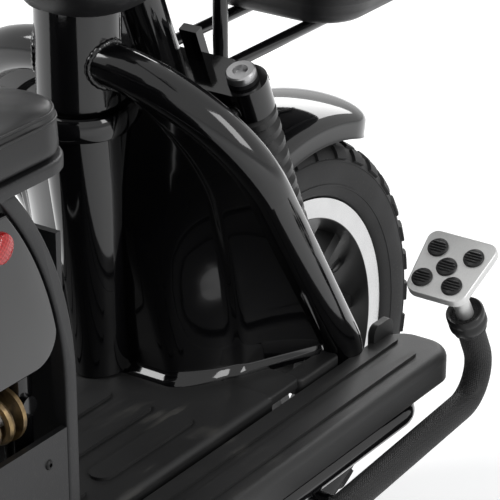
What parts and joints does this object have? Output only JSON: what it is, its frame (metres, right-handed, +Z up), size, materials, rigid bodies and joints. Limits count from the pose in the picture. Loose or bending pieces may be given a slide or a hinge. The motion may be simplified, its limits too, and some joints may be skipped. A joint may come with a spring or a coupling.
{
  "type": "electric tricycle",
  "caption": "Small black electric tricycle with a raked steered fork, arched tube frame, leg shield, ribbed foot deck, foot brake pedal, padded seat and driven rear axle.",
  "frame": {"origin": "on the ground, under the middle of the overall length and width", "axes": "+X forward, +Y to the rider's left, +Z up"},
  "size_m": [1.54, 0.736, 1.1926],
  "materials": {
    "frame_paint": "gloss black",
    "shield_plastic": "gloss black",
    "mat_rubber": "satin black",
    "sleeve_rubber": "matte black",
    "pad_metal": "brushed",
    "seat_leather": "smooth black",
    "body_plastic": "gloss black",
    "satin_plastic": "satin black",
    "lamp_red": "clear red",
    "lamp_clear": "clear",
    "fork_steel": "satin",
    "spring_steel": "satin",
    "tyre_rubber": "matte black",
    "rim_alloy": "polished",
    "mirror_shell": "gloss black",
    "axle_paint": "satin black"
  },
  "bodies": {
    "chassis": {"neck": "frame_paint", "arch_tubes": "frame_paint", "seat_frame": "frame_paint", "frame_crosses": "frame_paint", "side_bands": "satin_plastic", "leg_shield": "shield_plastic", "floor_mat": "mat_rubber", "footboards": "mat_rubber", "side_rails": "frame_paint", "pedal_sleeve": "sleeve_rubber", "pedal_pad": "pad_metal", "seat_pan": "satin_plastic", "seat_cushion": "seat_leather", "backrest_frame": "frame_paint", "backrest_pad": "seat_leather", "seat_front_panel": "satin_plastic", "side_covers": "body_plastic", "lower_covers": "satin_plastic", "side_markers": "lamp_red", "battery_pack": "satin_plastic", "rear_panel": "body_plastic", "tail_lamps": "lamp_red", "rear_rack": "frame_paint", "rear_axle": "axle_paint", "trailing_arms": "frame_paint", "dampers": "fork_steel", "springs": "spring_steel", "rear_fenders": "body_plastic"},
    "steering": {"fork_yoke": "frame_paint", "fork_legs": "fork_steel", "fork_gaiters": "sleeve_rubber", "front_axle": "fork_steel", "front_fender": "body_plastic", "handlebar": "frame_paint", "grips": "sleeve_rubber", "brake_levers": "frame_paint", "console": "satin_plastic", "headlamp": "satin_plastic", "headlamp_lens": "lamp_clear", "mirrors": "mirror_shell", "front_basket": "satin_plastic", "basket_bars": "frame_paint", "fender_brackets": "frame_paint"},
    "front_wheel": {"front_tyre": "tyre_rubber", "front_casting": "rim_alloy"},
    "rear_left_wheel": {"rear_left_tyre": "tyre_rubber", "rear_left_casting": "rim_alloy"},
    "rear_right_wheel": {"rear_right_tyre": "tyre_rubber", "rear_right_casting": "rim_alloy"}
  },
  "joints": [
    {"name": "steering_turn", "type": "hinge", "parent": "chassis", "child": "steering", "pos_m": [0.52283, 0, 0.21582], "axis": [-0.3827, 0, 0.9239], "range_deg": [-35, 35]},
    {"name": "front_wheel_spin", "type": "hinge", "parent": "steering", "child": "front_wheel", "pos_m": [0.545, 0, 0.225], "axis": [0, 1, 0], "continuous": true},
    {"name": "rear_left_wheel_spin", "type": "hinge", "parent": "chassis", "child": "rear_left_wheel", "pos_m": [-0.505, 0.295, 0.225], "axis": [0, 1, 0], "continuous": true},
    {"name": "rear_right_wheel_spin", "type": "hinge", "parent": "chassis", "child": "rear_right_wheel", "pos_m": [-0.505, -0.295, 0.225], "axis": [0, 1, 0], "continuous": true}
  ]
}
